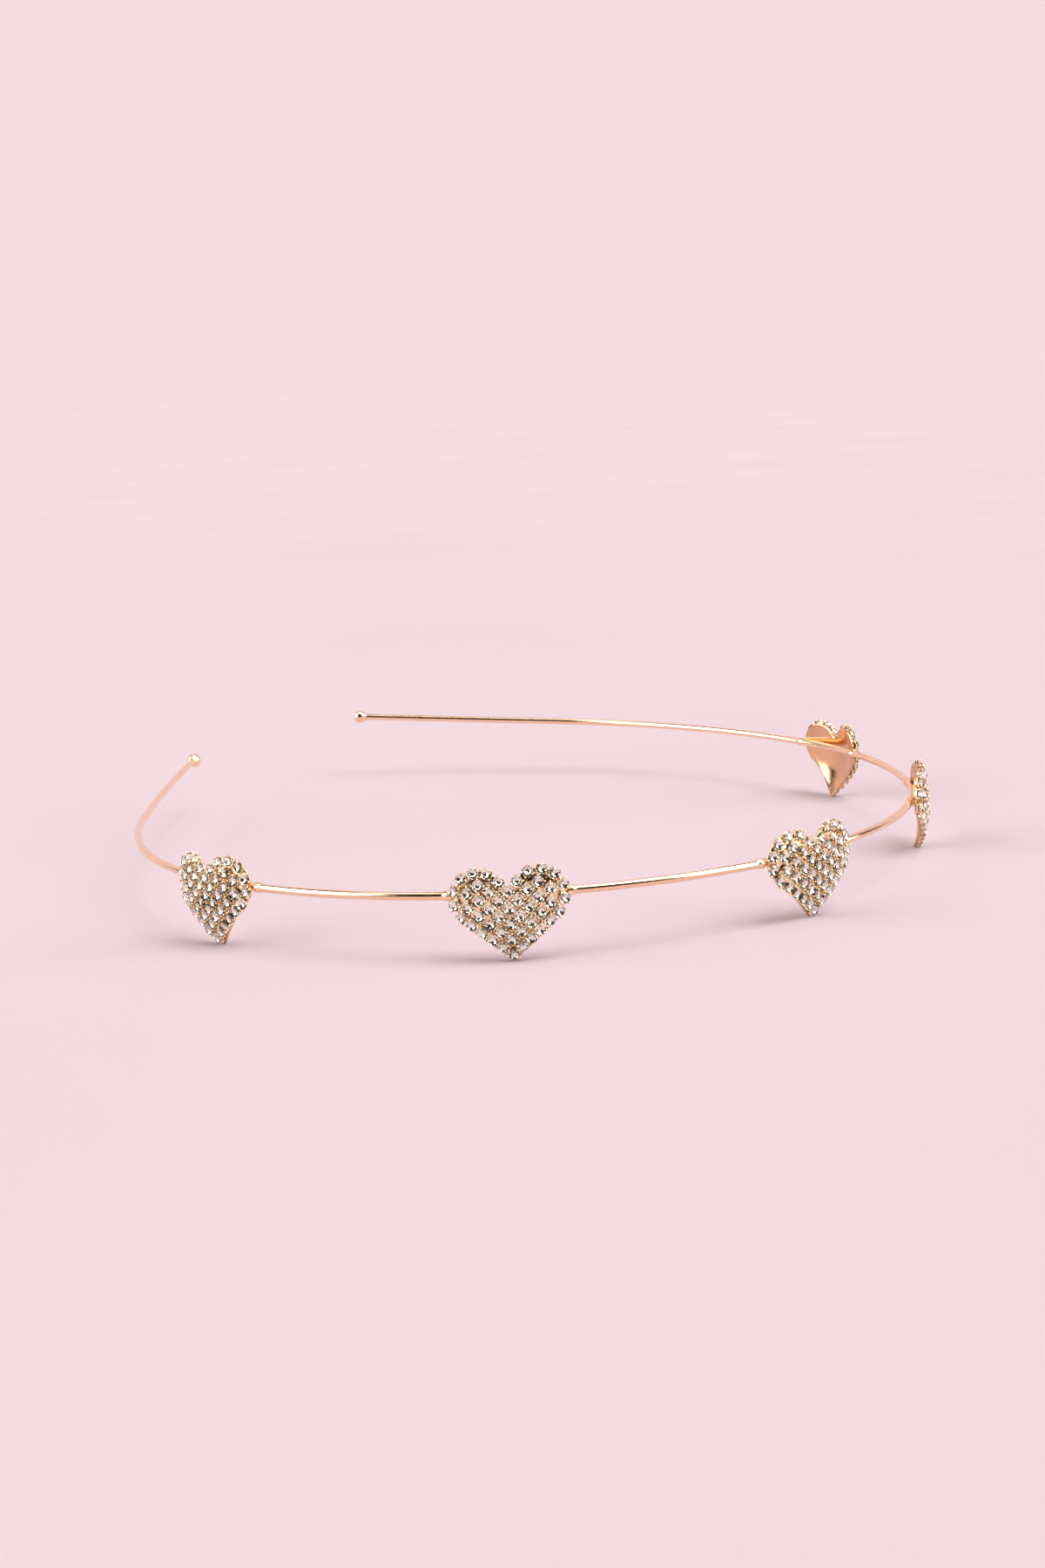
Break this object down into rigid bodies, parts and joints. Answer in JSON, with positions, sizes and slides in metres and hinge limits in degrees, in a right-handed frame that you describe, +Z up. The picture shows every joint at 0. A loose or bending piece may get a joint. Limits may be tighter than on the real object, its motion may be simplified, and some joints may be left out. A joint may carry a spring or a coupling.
{
  "type": "rhinestone heart headband",
  "caption": "Sprung wire headband with domed heart plates soldered along its front, each set with a field of clear round cut stones, and a small ball on each free end.",
  "frame": {"origin": "under the middle of the headband, on the surface that its heart tips stand on", "axes": "+Z up from that surface, +Y from the crown towards the two free ends, +X to the right as seen from the crown"},
  "size_m": [0.1384, 0.1588, 0.0138],
  "materials": {
    "rose_gold": "polished rose gold plate",
    "crystal": "clear foil-backed cut stones in rose gold cups"
  },
  "bodies": {
    "root": {"band": "rose_gold", "ball_tip_left": "rose_gold", "ball_tip_right": "rose_gold", "heart_stones_1": "crystal", "heart_stones_2": "crystal", "heart_stones_3": "crystal", "heart_stones_4": "crystal", "heart_stones_5": "crystal"}
  },
  "joints": []
}
